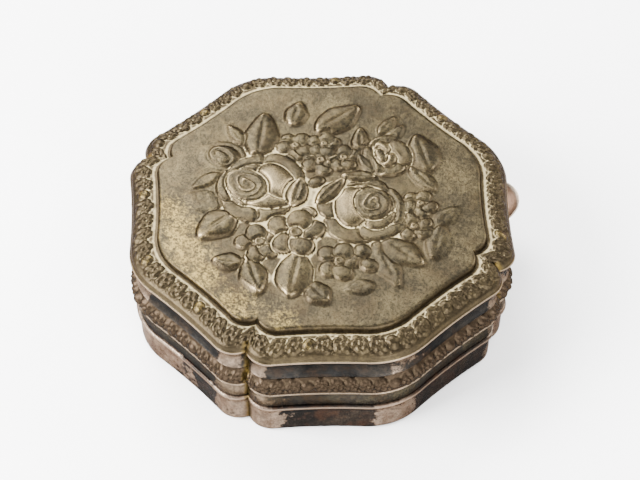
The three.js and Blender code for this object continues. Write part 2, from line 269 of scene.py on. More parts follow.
class RingWall:
    """Raises a piece from a circle, one extruded ring after another."""

    def __init__(self, name: str, steps: int, first: Level) -> None:
        """Adds a circle and brings its points onto the box's outline.

        Args:
            name: name of the piece.
            steps: points around the circle.
            first: the ring that it becomes.
        """
        bpy.ops.object.select_all(action="DESELECT")
        bpy.ops.mesh.primitive_circle_add(vertices=steps, radius=RIM.half * MM)
        self.piece = bpy.context.active_object
        self.piece.name = name
        self.piece.data.name = name
        ring = RIM.points(steps) * RIM.scale(first.inset)
        places = np.c_[ring, np.full(steps, first.height)] * MM
        self.piece.data.vertices.foreach_set("co", places.ravel())
        self.levels = [first]
        self.spans: list[tuple[int, int]] = []
        self.last = 0
        self._edit(by_edges=False)
        bpy.ops.mesh.select_all(action="SELECT")

    def _edit(self, by_edges: bool) -> None:
        """Goes into edit mode, to select by edges or by points."""
        bpy.context.tool_settings.mesh_select_mode = (not by_edges, by_edges, False)
        bpy.ops.object.mode_set(mode="EDIT")

    def _level_of_points(self) -> np.ndarray:
        """Finds the ring that each point belongs to.

        Returns:
            The ring's number for each point, or -1.
        """
        places = read_places(self.piece)
        inset = RIM.measure(places)[0]
        found = np.full(len(places), -1)
        for k, level in enumerate(self.levels):
            beside = np.abs(inset - level.inset) < INSET_MARGIN
            found[beside & (np.abs(places[:, 2] - level.height) < HEIGHT_MARGIN)] = k
        return found

    def _select(self, points: np.ndarray, edges: np.ndarray | None = None) -> None:
        """Selects points, or edges where they are given, and goes into edit mode.

        Args:
            points: one flag for each point.
            edges: one flag for each edge.
        """
        mesh = self.piece.data
        by_edges = edges is not None
        mesh.polygons.foreach_set("select", np.zeros(len(mesh.polygons), dtype=bool))
        mesh.vertices.foreach_set("select", points)
        mesh.edges.foreach_set("select", edges if by_edges else np.zeros(len(mesh.edges), dtype=bool))
        self._edit(by_edges)

    def pick(self, number: int) -> None:
        """Selects one ring, so that the next ring grows from it.

        Args:
            number: the ring's place in the order in which the rings were made.
        """
        bpy.ops.object.mode_set(mode="OBJECT")
        self._select(self._level_of_points() == number)
        self.last = number

    def grow(self, levels: list[Level]) -> None:
        """Extrudes the selected ring from level to level.

        Args:
            levels: the rings to make, in order.
        """
        for level in levels:
            before = self.levels[self.last]
            size = RIM.scale(level.inset) / RIM.scale(before.inset)
            rise = (level.height - before.height) * MM
            bpy.ops.mesh.extrude_region_move(TRANSFORM_OT_translate={"value": (0, 0, rise)})
            bpy.ops.transform.resize(value=(size, size, 1), center_override=(0, 0, 0))
            self.levels.append(level)
            self.spans.append((self.last, len(self.levels) - 1))
            self.last = len(self.levels) - 1
            if level.halved:
                self._halve()

    def _halve(self) -> None:
        """Dissolves every second point of the newest ring and selects what is left of it."""
        bpy.ops.object.mode_set(mode="OBJECT")
        places = read_places(self.piece)
        ring = np.flatnonzero(self._level_of_points() == self.last)
        turn = (np.arctan2(places[ring, 1], places[ring, 0]) + 1e-4) % TURN
        odd = ring[np.argsort(turn)][1::2]
        flags = np.zeros(len(places), dtype=bool)
        flags[odd] = True
        self._select(flags)
        bpy.ops.mesh.dissolve_verts()
        self.pick(self.last)

    def close_to_point(self) -> None:
        """Closes the selected ring in one point at its middle."""
        bpy.ops.mesh.extrude_region_move()
        bpy.ops.mesh.merge(type="CENTER")

    def bridge(self, one: int, other: int) -> None:
        """Joins two open rings with faces.

        Args:
            one: the first ring's number.
            other: the second ring's number.
        """
        bpy.ops.object.mode_set(mode="OBJECT")
        found = self._level_of_points()
        ends = self._edge_ends()
        edges = (found[ends[:, 0]] == found[ends[:, 1]]) & np.isin(found[ends[:, 0]], (one, other))
        self._select(np.isin(found, (one, other)), edges)
        bpy.ops.mesh.bridge_edge_loops()

    def _edge_ends(self) -> np.ndarray:
        """Reads the edges.

        Returns:
            The numbers of each edge's two points, one row each.
        """
        edges = self.piece.data.edges
        ends = np.empty(len(edges) * 2, dtype=np.int32)
        edges.foreach_get("vertices", ends)
        return ends.reshape(-1, 2)

    def finish(self) -> bpy.types.Object:
        """Subdivides the spans between the rings and turns the faces outwards.

        Returns:
            The finished piece.
        """
        for start, end in self.spans:
            cuts = self.levels[end].cuts
            if cuts:
                bpy.ops.object.mode_set(mode="OBJECT")
                found = self._level_of_points()
                pair = np.sort(found[self._edge_ends()], axis=1)
                edges = (pair[:, 0] == min(start, end)) & (pair[:, 1] == max(start, end))
                self._select(np.zeros(len(found), dtype=bool), edges)
                bpy.ops.mesh.subdivide(number_cuts=cuts, quadcorner="STRAIGHT_CUT")
        bpy.ops.mesh.select_all(action="SELECT")
        bpy.ops.mesh.remove_doubles(threshold=1e-6)
        bpy.ops.mesh.normals_make_consistent(inside=False)
        bpy.ops.object.mode_set(mode="OBJECT")
        return self.piece


def read_places(piece: bpy.types.Object) -> np.ndarray:
    """The points of a piece in millimetres.

    Args:
        piece: the piece.

    Returns:
        One row for each point.
    """
    places = np.empty(len(piece.data.vertices) * 3)
    piece.data.vertices.foreach_get("co", places)
    return places.reshape(-1, 3) / MM


def write_places(piece: bpy.types.Object, places: np.ndarray) -> None:
    """Moves the points of a piece.

    Args:
        piece: the piece.
        places: where its points go, in millimetres.
    """
    piece.data.vertices.foreach_set("co", (places * MM).ravel())
    piece.data.update()


# Repousse relief: forms laid one over another on a fine height map

@dataclass(frozen=True)
class Form:
    """One raised form, such as a petal or a leaf, in millimetres.

    Attributes:
        x: place of its middle.
        y: place of its middle.
        long: half its length.
        wide: half its width.
        turn: the turn of its tip from +X, in degrees.
        base: how high its edge stands over the ground.
        rise: how much its middle stands over its edge.
        dish: how deep its middle is hollowed, as a share of the rise.
        leafy: whether it is pointed, with a rib and veins.
        whorls: turns of the rolled petals on a rose's heart.
        ridge: height of their edges.
    """

    x: float
    y: float
    long: float
    wide: float
    turn: float
    base: float
    rise: float
    dish: float = 0.0
    leafy: bool = False
    whorls: float = 0.0
    ridge: float = 0.16

    def height(self, x: np.ndarray, y: np.ndarray) -> tuple[np.ndarray, np.ndarray]:
        """Its height over the ground.

        Args:
            x: places along X.
            y: places along Y.

        Returns:
            The heights, and the reach, which is 0 in the middle and 1 on the outline.
        """
        cos, sin = math.cos(math.radians(self.turn)), math.sin(math.radians(self.turn))
        along = ((x - self.x) * cos + (y - self.y) * sin) / self.long
        across = ((y - self.y) * cos - (x - self.x) * sin) / self.wide
        reach = np.hypot(along, across)
        if self.leafy:
            taper = np.clip(1 - np.abs(along) ** 1.7, 0.001, 1) ** 0.68 * (1 - 0.16 * along)
            wave = 1 + 0.03 * np.sin(along * 7 + self.x)
            across = across / np.maximum(taper * wave, 0.02)
            reach = np.maximum(np.abs(across), np.abs(along) ** 4)
        inside = np.clip(1 - reach ** 2.2, 0, 1)
        dome = inside ** 0.62 * (1 - self.dish * np.exp(-(reach / 0.6) ** 2))
        high = self.base + self.rise * dome
        if self.leafy:
            fold = np.exp(-(across * self.wide / 0.5) ** 2) * np.clip(1.2 - np.abs(along) * 1.3, 0, 1)
            veins = np.cos(TURN * (along * self.long - np.abs(across) * self.wide * 0.8) / 2.6)
            lean = 0.22 * self.rise * np.clip(across, -1, 1)
            high = high - 0.3 * self.rise * fold + (0.025 * veins + lean) * inside
        if self.whorls:
            angle = np.arctan2(across, along)
            sway = 0.16 * np.cos(2 * angle + 9 * reach) + 0.1 * np.cos(3 * angle - 5 * reach)
            fold = (angle / TURN + self.whorls * reach ** 0.85 + sway) % 1
            high = high + self.ridge * (2 * fold ** 1.6 - 0.8) * np.clip(reach * 4, 0, 1) * inside
        return high, reach


@dataclass(frozen=True)
class Blossom:
    """A five-petalled blossom, in millimetres.

    Attributes:
        x: place of its middle.
        y: place of its middle.
        size: its radius.
        turn: the turn of its first petal from +X, in degrees.
        lift: how high its petals stand over the ground.
    """

    x: float
    y: float
    size: float
    turn: float = 20.0
    lift: float = 0.3

    def forms(self) -> list[Form]:
        """Its petals and its ring-shaped middle.

        Returns:
            The forms, lowest first.
        """
        laid = []
        for k in range(5):
            turn = self.turn + 72 * k + 7 * math.sin(self.x + 3 * k)
            x = self.x + 0.55 * self.size * math.cos(math.radians(turn))
            y = self.y + 0.55 * self.size * math.sin(math.radians(turn))
            long, wide, rise = self.size * 0.47, self.size * 0.42, 0.08 * self.size + 0.15
            laid.append(Form(x, y, long, wide, turn, self.lift + 0.04 * (k % 2), rise, 0.12))
        middle = self.size * 0.23
        laid.append(Form(self.x, self.y, middle, middle, 0, self.lift + 0.35, 0.45, dish=0.95))
        return laid


class ReliefMap:
    """A height map of overlapping forms on flat ground."""

    def __init__(self, low: tuple[float, float], high: tuple[float, float], cell: float, cut: float) -> None:
        """Makes an empty map.

        Args:
            low: its lowest corner, in millimetres.
            high: its highest corner, in millimetres.
            cell: the distance between its places.
            cut: how deep the chased lines go into flat ground.
        """
        self.low = low
        self.cut = cut
        self.cell = cell
        self.columns = np.arange(low[0], high[0], cell)
        self.rows = np.arange(low[1], high[1], cell)
        self.ground = np.zeros((len(self.rows), len(self.columns)))

    def lay(self, form: Form, chase: float = 0.32) -> None:
        """Lays a form over what is there, with a chased line around it.

        Args:
            form: the form.
            chase: width of the chased line, in millimetres.
        """
        far = max(form.long, form.wide) + 3 * chase
        columns = np.flatnonzero(np.abs(self.columns - form.x) < far)
        rows = np.flatnonzero(np.abs(self.rows - form.y) < far)
        if len(columns) == 0 or len(rows) == 0:
            return
        window = np.ix_(rows, columns)
        x, y = np.meshgrid(self.columns[columns], self.rows[rows])
        high, reach = form.height(x, y)
        outside = np.maximum(reach - 1, 0) * min(form.long, form.wide)
        line = np.exp(-(outside / chase) ** 2) * (reach >= 1)
        old = self.ground[window]
        sunk = old * (1 - 0.6 * line) - self.cut * line
        self.ground[window] = np.where(reach < 1, np.maximum(high, old * 0.35), sunk)

    def softened(self, radius: float) -> np.ndarray:
        """The map blurred over a radius.

        Args:
            radius: in millimetres.

        Returns:
            The blurred heights.
        """
        span = max(1, int(3 * radius / self.cell))
        weight = np.exp(-0.5 * (np.arange(-span, span + 1) * self.cell / radius) ** 2)
        weight /= weight.sum()
        soft = np.apply_along_axis(np.convolve, 1, self.ground, weight, "same")
        return np.apply_along_axis(np.convolve, 0, soft, weight, "same")

    def sample(self, layer: np.ndarray, x: np.ndarray, y: np.ndarray) -> np.ndarray:
        """Reads a layer of the map between its places.

        Args:
            layer: the layer, one number for each place.
            x: where to read it, along X.
            y: where to read it, along Y.

        Returns:
            One number for each point.
        """
        u = np.clip((x - self.low[0]) / self.cell, 0, layer.shape[1] - 1.001)
        v = np.clip((y - self.low[1]) / self.cell, 0, layer.shape[0] - 1.001)
        i, j = u.astype(int), v.astype(int)
        du, dv = u - i, v - j
        low = layer[j, i] * (1 - du) + layer[j, i + 1] * du
        high = layer[j + 1, i] * (1 - du) + layer[j + 1, i + 1] * du
        return low * (1 - dv) + high * dv

    def read(self, radius: float, x: np.ndarray, y: np.ndarray) -> np.ndarray:
        """Reads the map at points, blurred over a radius unless that is 0."""
        return self.sample(self.softened(radius) if radius else self.ground, x, y)


# Leaves: the middle, the length and width, the turn of the tip from +X in degrees, the height of the
# edge and the swell over it. The low ones lie under the flowers, the top ones over them.
LOW_LEAVES = [
    (-16.3, 25.6, 13.5, 7.4, -6, 0.3, 1.1), (-10, 30, 8.5, 6, 62, 0.12, 0.85), (-28, 13, 9, 7, 18, 0.3, 0.8),
    (-20.2, 15.7, 16, 10, -33, 0.35, 1.1), (-30.6, 2, 8, 5.5, 80, 0.05, 0.35),
    (-26, -7.4, 17, 6.8, 178, 0.1, 0.6), (-24.2, -12.8, 13.5, 8, 208, 0.2, 0.7),
    (-24, -22.6, 13, 6.4, -36, 0.1, 0.6), (-16.8, -28.4, 9, 5.4, -68, 0.05, 0.4),
    (-2, -27.8, 12.5, 5.2, 14, 0.1, 0.6), (5.6, -31.6, 14, 9, -8, 0.2, 0.9),
    (15.3, -28, 7, 4, -62, 0.1, 0.5), (18.4, -26.8, 8, 4, -58, 0.1, 0.5),
    (15.8, -18, 10, 5, -24, 0.2, 0.7), (25.4, -15.6, 15, 9, -74, 0.3, 0.95),
    (31.4, -6, 9, 6.4, -38, 0.25, 0.85), (27.4, 5.6, 17, 9.5, -30, 0.3, 0.9),
    (30.4, 11.6, 8, 4, 8, 0.15, 0.5), (18.2, 25, 9, 4.2, 105, 0.05, 0.4),
    (11.8, 28.2, 10, 8, 40, 0.02, 0.3), (2.6, 28, 13, 9.6, 108, 0.3, 1.1),
]

TOP_LEAVES = [
    (4.6, 4.8, 11, 6.4, -38, 0.45, 1.2), (1.8, -3.6, 12, 5.4, -62, 0.4, 1.0),
    (4.2, -12.4, 9.5, 4.6, 66, 0.3, 0.8), (8, -16, 8, 3, 8, 0.15, 0.5),
]

BLOSSOMS = [
    Blossom(-20.7, 3.6, 6.4, 35, 0.25), Blossom(-17.3, -18.9, 5.2, 60, 0.35),
    Blossom(-10.6, -23.6, 5, 20, 0.3),
    Blossom(13.2, -5.4, 5.4, 30, 0.3), Blossom(11.8, -11.4, 4.8, 55, 0.3), Blossom(20.6, -1.4, 5.2, 10, 0.25),
    Blossom(18.4, -8.6, 4.6, 40, 0.25), Blossom(-7.3, 20.2, 6.4, 70, 0.4),
]

MIDDLE_BLOSSOM = Blossom(-8, 10.4, 8, 42, 0.6)

BUDS = [
    Form(-24.8, -2.9, 2.6, 2.3, 30, 0.2, 0.9), Form(-19.6, -3.4, 2.5, 2.2, 0, 0.2, 0.8),
    Form(-2.7, 4.6, 2.5, 2.2, 60, 0.3, 0.8), Form(24.6, 17.6, 6.2, 5.4, 60, 0.05, 0.35, dish=0.7),
    Form(24.4, 17.4, 4.4, 3.6, 35, 0.3, 0.9), Form(24.2, 18.2, 2.6, 1.5, 20, 0.85, 0.35),
    Form(6.4, -1.4, 2.6, 1.9, -80, 0.25, 0.7), Form(16.6, 2.2, 2.2, 1.8, 20, 0.2, 0.6),
]

# The rose on the thumb-piece's side of the middle
NEAR_ROSE = [
    Form(-7.2, -8.4, 10, 9.6, 0, 0.3, 0.5), Form(-11.6, -3.4, 7.4, 5, 48, 0.55, 0.55, 0.6),
    Form(-1.6, -3.6, 6.4, 4.6, -52, 0.5, 0.6, 0.5), Form(-14.2, -11.4, 6.4, 4.2, 100, 0.5, 0.5, 0.6),
    Form(-8.2, -16, 6.4, 3.8, -12, 0.45, 0.5, 0.5), Form(-0.8, -12.6, 5.6, 4, 68, 0.5, 0.5, 0.5),
    Form(-11, -11.8, 4.8, 3.8, 118, 0.85, 0.5, 0.6), Form(-6, -14.4, 4.8, 3.2, 12, 0.85, 0.5, 0.6),
    Form(-2.6, -11, 4.6, 3.4, 72, 0.9, 0.5, 0.5), Form(-5.4, -6.4, 7, 4.6, -22, 0.95, 1.05),
    Form(-6.6, -12, 5.6, 4.8, -18, 1.15, 0.3, 0.2, whorls=2.8, ridge=0.26),
]

# The rose across the middle from it
FAR_ROSE = [
    Form(10, 13, 10.3, 9.9, 0, 0.3, 0.5), Form(2.4, 14.6, 7.2, 3.8, 84, 0.55, 0.6, 0.4),
    Form(6.2, 20.6, 6.4, 3.4, 18, 0.5, 0.5, 0.6), Form(14.4, 19.6, 5.8, 3.6, -34, 0.5, 0.5, 0.6),
    Form(17.8, 12.4, 6.2, 3.8, 92, 0.5, 0.5, 0.6), Form(13.6, 4.6, 7, 4, 16, 0.5, 0.6, 0.4),
    Form(10.6, 18, 5.2, 3.2, 0, 0.85, 0.45, 0.6), Form(15.2, 12.8, 4.8, 3.2, 82, 0.85, 0.45, 0.6),
    Form(5.2, 12.6, 6.4, 3.2, 66, 0.95, 0.75, 0.1), Form(10.4, 8.2, 6.8, 4.4, 6, 0.95, 1.05),
    Form(12, 16, 6.2, 4.9, 20, 1.2, 0.3, 0.15, whorls=3.1, ridge=0.22),
]

SMALL_ROSE = [
    Form(8, -22.3, 6.9, 6.1, 0, 0.25, 0.5), Form(3.6, -21.4, 4.2, 2.6, 84, 0.5, 0.5, 0.5),
    Form(12.8, -23, 4.2, 2.6, 96, 0.5, 0.5, 0.5), Form(8, -26.4, 4.8, 2.5, 0, 0.5, 0.5, 0.5),
    Form(8.4, -18.4, 4.8, 2.3, 0, 0.5, 0.5, 0.5), Form(7, -22, 2.6, 2.8, 90, 0.9, 0.6),
    Form(10.9, -22.2, 2.2, 2.7, 90, 0.9, 0.6), Form(8.8, -20.6, 2.4, 1.3, 0, 1.0, 0.3),
]


def bouquet_map() -> ReliefMap:
    """The bouquet on the panel: leaves lowest, then blossoms, buds and roses.

    Returns:
        The height map.
    """
    relief = ReliefMap((-40, -40), (40, 40), cell=0.2, cut=0.13)
    low, top = (
        [Form(x, y, length / 2, width / 2, *rest, leafy=True) for x, y, length, width, *rest in leaves]
        for leaves in (LOW_LEAVES, TOP_LEAVES)
    )
    blossoms = [form for blossom in (*BLOSSOMS, MIDDLE_BLOSSOM) for form in blossom.forms()]
    roses = SMALL_ROSE + NEAR_ROSE + FAR_ROSE
    # The middle blossom is laid once more, over the petals that cover its rim
    for form in low + blossoms + BUDS + roses + top + MIDDLE_BLOSSOM.forms():
        relief.lay(form)
    return relief


@dataclass(frozen=True)
class FlowerBand:
    """A row of forget-me-nots along the rim, with balls and small roses between them.

    Attributes:
        width: width of the band.
        flower: size of one flower.
        rise: height of the flowers over the ground.
        seed: start of the scatter that keeps the rows from looking machine-made.
        beside: room for half a ball and the gap beside it.
        balls: angles on the rim where smooth balls stand, in degrees.
        roses: angles on the rim where roses stand, in degrees.
    """

    width: float
    flower: float
    rise: float
    seed: int
    beside: float = 1.6
    balls: tuple[float, ...] = (62.7, 90.2, 115.5, 153.6, 332.4, 20, 292, 236)
    roses: tuple[float, ...] = (179.2, 200.9, 40, 270, 310, 2)

    def build(self) -> ReliefMap:
        """Lays the flowers.

        Returns:
            A map with the distance along the rim on X and across the band on Y.
        """
        length, high = RIM.length(), self.rise
        relief = ReliefMap((-4, 0), (length + 4, self.width), cell=0.14, cut=0.1)
        scatter = np.random.default_rng(self.seed)
        roses = {RIM.along_at(angle) for angle in self.roses}
        edges = sorted(roses.union(RIM.along_at(angle) for angle in self.balls))
        for left, right in zip(edges, edges[1:] + [edges[0] + length]):
            room = right - left - 2 * self.beside
            count = max(1, round(room / self.flower))
            step = room / count
            for k in range(count):
                x = (left + self.beside + (k + 0.5) * step) % length
                y = self.width * 0.53 + scatter.uniform(-0.12, 0.12)
                self._flower(relief, x, y, step * 1.04, scatter.uniform(0, 72))
                bud = Form(x + step / 2, 0.7, 0.75, 0.5, scatter.uniform(0, 180), 0.1, high * 0.4)
                relief.lay(bud, 0.15)
        for place in edges:
            relief.lay(Form(place, self.width * 0.52, 1.8, 1.75, 0, 0.2 * high, 1.15 * high), 0.25)
            if place in roses:
                relief.lay(Form(place, self.width * 0.52, 1.3, 1.2, 30, 0.9 * high, 0.25, whorls=1.5), 0.15)
        return relief

    def read(self, along: np.ndarray, across: np.ndarray) -> tuple[np.ndarray, np.ndarray, np.ndarray]:
        """Reads the row at points.

        Args:
            along: their distances along the rim, in millimetres.
            across: their distances across the band.

        Returns:
            How high each point is raised, how far it lies under what is around it, and how far it
            stands over that.
        """
        relief = self.build()
        ground, cast, soft, wide = (relief.read(blur, along, across) for blur in (0, 0.15, 0.5, 0.8))
        return cast, wide - ground, ground - soft

    def _flower(self, relief: ReliefMap, x: float, y: float, size: float, turn: float) -> None:
        """Lays one flower, as tall as the band.

        Args:
            relief: the map.
            x: place along the rim.
            y: place across the band.
            size: its width along the rim.
            turn: its turn in degrees.
        """
        tall = self.width * 0.86
        relief.lay(Form(x, y, 0.49 * size, 0.5 * tall, 0, 0.1, self.rise * 0.6), 0.3)
        for k in range(5):
            angle = math.radians(turn + 72 * k)
            petal_x, petal_y = x + 0.27 * size * math.cos(angle), y + 0.28 * tall * math.sin(angle)
            petal = Form(petal_x, petal_y, 0.25 * size, 0.25 * size, 0, self.rise * 0.35, self.rise * 0.65)
            relief.lay(petal, 0.26)
        relief.lay(Form(x, y, 0.13 * size, 0.13 * size, 0, self.rise * 0.7, self.rise * 0.4), 0.24)


# Finishes

# Numbers that each piece keeps on its points: hollows, crests that are worn and carry a painted highlight,
# turns of the wall, notches, golden patches that are partly a painted sheen, and dirt with painted shade.
MARKS = ("gap", "crest", "shoulder", "notch", "gilt_and_sheen", "dirt_and_shade")

# Noises by name: the width of their lumps in millimetres, their detail and their roughness.
# Real tarnish is finer than the grain here, which is drawn wide enough to show in a picture of the whole box.
NOISES = {
    "patch": (15, 6, 0.65),
    "cloud": (9, 5, 0.55),
    "rust": (7, 7, 0.72),
    "fleck": (1.7, 6, 0.75),
    "grain": (0.62, 4, 0.75),
}


def linear(code: str) -> tuple[float, float, float, float]:
    """Turns an sRGB hex value to linear light.

    Args:
        code: six hex digits.

    Returns:
        The colour, as a shader socket takes it.
    """
    values = [int(code[k:k + 2], 16) / 255 for k in (0, 2, 4)]
    light = [v / 12.92 if v <= 0.04045 else ((v + 0.055) / 1.055) ** 2.4 for v in values]
    return (light[0], light[1], light[2], 1.0)


def add_node(tree: bpy.types.NodeTree, kind: str, settings: dict, inputs: dict) -> bpy.types.Node:
    """Adds a node with its settings and links.

    Args:
        tree: the material's node tree.
        kind: the node's type.
        settings: values by attribute name.
        inputs: values, or output sockets to link, by input name or number.

    Returns:
        The node.
    """
    node = tree.nodes.new(kind)
    for name, value in settings.items():
        setattr(node, name, value)
    for name, value in inputs.items():
        if isinstance(value, bpy.types.NodeSocket):
            tree.links.new(value, node.inputs[name])
        else:
            node.inputs[name].default_value = value
    return node


@dataclass(frozen=True)
class Layer:
    """A colour that shows where a weighted sum of noises and marks has passed a value.

    Attributes:
        colour: the colour.
        sources: weights by the name of a noise or a mark.
        begin: the sum at which it begins to show.
        full: the sum at which it shows in full, above that or below.
        strength: how far it then covers what is under it.
        curve: how it goes from none to full.
    """

    colour: str
    sources: dict[str, float]
    begin: float
    full: float
    strength: float = 1.0
    curve: str = "SMOOTHSTEP"


@dataclass(frozen=True)
class WornPlate:
    """Silver plate over copper, stamped and soldered, long tarnished.

    It gives the eye a soft satin metal whose colour wanders between grey, khaki and golden tones, darker
    and rougher where it is tarnished, bright on worn edges and crests, which also carry a painted highlight,
    with painted shade and dried polish in the hollows.

    Attributes:
        name: name of the material.
        ground: its main colour.
        warm: the colour of its golden patches.
        dark: the colour of its tarnish and pits, and of the painted shade in its hollows and along steep
            flanks.
        worn_and_highlit: the colour of worn shoulders, and of crests and edges that are partly worn and
            partly a painted highlight.
        residue: the colour of the dried polish.
        corroded: the colour of brown corrosion.
        gilt_and_sheen: the colour of its pale golden patches, which on the cover are partly a painted sheen.
        notch_dirt: the colour of the dirt in the notches.
        edge: the tint of its reflections at a glancing angle.
        dark_share: how much of it is dark tarnish, from 0 to 1.
        residue_share: how strongly the hollows are filled.
        corroded_share: how strongly the hollows are brown.
        rubbed_share: how far the shoulders are worn.
        pitted: how strongly the small pits are darkened.
        roughness: of the clean metal.
        metallic: how much it shines as bare metal does.
        filled_metallic: how much it does so under dried polish.
        grain_depth: depth of its grain, in millimetres.
    """

    name: str
    ground: str
    warm: str
    dark: str
    worn_and_highlit: str
    residue: str = "6c5b48"
    corroded: str = "3c2412"
    gilt_and_sheen: str = "9c8a5a"
    notch_dirt: str = "453819"
    edge: str = "a39a8e"
    dark_share: float = 0.3
    residue_share: float = 0.1
    corroded_share: float = 0.0
    rubbed_share: float = 0.0
    pitted: float = 0.45
    roughness: float = 0.4
    metallic: float = 0.75
    filled_metallic: float = 0.05
    grain_depth: float = 0.22

    def layers(self) -> dict[str, Layer]:
        """The colours over its ground.

        Returns:
            The layers by name, lowest first.
        """
        return {
            "warmth": Layer(self.warm, {"cloud": 0.4, "fleck": 0.15, "grain": 0.45}, 0.42, 0.6),
            "tarnish": Layer(self.dark, {"patch": 1.0, "fleck": 0.25}, 0.52, 0.74, self.dark_share),
            "wear": Layer(self.worn_and_highlit, {"shoulder": 0.42, "patch": 1.5, "fleck": 0.45}, 1.19, 1.29,
                          self.rubbed_share),
            "specks": Layer(self.dark, {"grain": 1.0}, 0.5, 0.6, 0.62),
            # Golden patches: partly a painted sheen on the panel's lit side and a painted highlight on the
            # border's balls.
            "gold_and_sheen": Layer(self.gilt_and_sheen, {"gilt_and_sheen": 0.3, "grain": 0.7, "fleck": 1.0}, 0.98, 1.3, 0.6),
            "pits": Layer(self.dark, {"fleck": 0.35, "grain": 0.65}, 0.57, 0.45, self.pitted),
            # Painted shade mixed with dirt: darkens the hollows, the steep flanks of the bouquet, the outer
            # slope of the border and the panel's edge; on the band's flowers it is a plain darkening,
            # strongest in their hollows.
            "grime_and_painted_shade": Layer(self.dark, {"dirt_and_shade_in_hollows": 1.0}, 0.0, 1.0, curve="LINEAR"),
            "brown": Layer(self.corroded, {"gap": 0.5, "rust": 1.0, "dirt_and_shade": 0.35, "fleck": 0.4}, 0.66, 0.84,
                           self.corroded_share),
            # Worn crests and edges, partly a painted highlight.
            "crest_wear_and_highlight": Layer(self.worn_and_highlit, {"crest": 1.0}, 0.35, 1.0, 0.6),
            "chalk": Layer(self.residue, {"gap": 1.0, "fleck": 0.5}, 0.62, 0.95, self.residue_share),
            "dark_brown": Layer(self.notch_dirt, {"broken notch": 1.0}, 0.0, 1.0, curve="LINEAR"),
        }

    def make(self) -> bpy.types.Material:
        """Builds the material's nodes.

        Returns:
            The material.
        """
        material = bpy.data.materials.new(self.name)
        material.use_nodes = True
        tree = material.node_tree
        tree.nodes.clear()
        place = add_node(tree, "ShaderNodeTexCoord", {}, {}).outputs["Object"]
        sockets = {}
        for name in MARKS:
            sockets[name] = add_node(tree, "ShaderNodeAttribute", {"attribute_name": name}, {}).outputs["Fac"]
        for name, (lump, detail, rough) in NOISES.items():
            inputs = {"Vector": place, "Scale": 1 / (lump * MM), "Detail": detail, "Roughness": rough}
            sockets[name] = add_node(tree, "ShaderNodeTexNoise", {}, inputs).outputs["Fac"]
        # Dirt with painted shade, made strongest in the hollows; and the notch colour, broken up by flecks.
        hollows = add_node(tree, "ShaderNodeMath", {"operation": "MULTIPLY_ADD"},
                           {0: sockets["gap"], 1: 1.1, 2: 0.35})
        broken = add_node(tree, "ShaderNodeMapRange", {"interpolation_type": "SMOOTHSTEP"},
                          {0: sockets["fleck"], 1: 0.3, 2: 0.6})
        for name, one, other in (("dirt_and_shade_in_hollows", "dirt_and_shade", hollows), ("broken notch", "notch", broken)):
            inputs = {0: sockets[one], 1: other.outputs[0]}
            sockets[name] = add_node(tree, "ShaderNodeMath", {"operation": "MULTIPLY"}, inputs).outputs[0]

        colour = linear(self.ground)
        for name, layer in self.layers().items():
            total = 0.0
            for source, weight in layer.sources.items():
                inputs = {0: sockets[source], 1: weight, 2: total}
                total = add_node(tree, "ShaderNodeMath", {"operation": "MULTIPLY_ADD"}, inputs).outputs[0]
            share = add_node(tree, "ShaderNodeMapRange", {"interpolation_type": layer.curve},
                             {0: total, 1: layer.begin, 2: layer.full, 4: layer.strength}).outputs[0]
            sockets[name] = share
            colour = add_node(tree, "ShaderNodeMix", {"data_type": "RGBA"},
                              {0: share, 6: colour, 7: linear(layer.colour)}).outputs[2]

        sums = {
            "rough": (self.roughness - 0.12, {"fleck": 0.3, "chalk": 0.35, "crest": -0.12}),
            "lumps": (0.0, {"fleck": 0.6, "grain": 0.4}),
        }
        for name, (total, sources) in sums.items():
            for source, weight in sources.items():
                inputs = {0: sockets[source], 1: weight, 2: total}
                total = add_node(tree, "ShaderNodeMath", {"operation": "MULTIPLY_ADD"}, inputs).outputs[0]
            sockets[name] = total
        metal = add_node(tree, "ShaderNodeMapRange", {},
                         {0: sockets["chalk"], 3: self.metallic, 4: self.filled_metallic})
        bump = add_node(tree, "ShaderNodeBump", {},
                        {"Height": sockets["lumps"], "Strength": 0.8, "Distance": self.grain_depth * MM})
        shader = add_node(tree, "ShaderNodeBsdfPrincipled", {}, {
            "Base Color": colour, "Roughness": sockets["rough"], "Metallic": metal.outputs[0],
            "Normal": bump.outputs[0], "Specular Tint": linear(self.edge)})
        add_node(tree, "ShaderNodeOutputMaterial", {}, {0: shader.outputs[0]})
        return material


# Gives the eye warm khaki metal, dull in the open, golden in patches that are partly a painted sheen, with
# pale polish in the hollows.
COVER_FINISH = WornPlate("silver_plate_tarnished_khaki", "3a3427", "594f38", "1b1812", "968462",
                         residue="ac9c74", corroded="33291b", gilt_and_sheen="86723f", dark_share=0.32,
                         residue_share=0.95, corroded_share=0.35, pitted=0.75, roughness=0.3, metallic=0.88)

# Gives the eye a cold, nearly black steel grey that breaks into pale metal beside the notches.
NECK_FINISH = WornPlate("silver_plate_tarnished_steel_grey", "262524", "322d27", "0c0c0c", "7d6c5c",
                        corroded="2c2118", gilt_and_sheen="4c4640", edge="7b7672", dark_share=0.9, corroded_share=0.4,
                        rubbed_share=0.85, pitted=0.6, roughness=0.3, metallic=0.9)

# Gives the eye a browner, rougher grey, so that the flowers look dug out of the corrosion.
BAND_FINISH = WornPlate("silver_plate_corroded_steel_grey", "393531", "464032", "131211", "7d6c5a",
                        residue="6c5f4a", corroded="2a2118", gilt_and_sheen="625a44", edge="7d776c", dark_share=0.8,
                        corroded_share=0.8, rubbed_share=0.8, pitted=0.7, roughness=0.36, metallic=0.9)

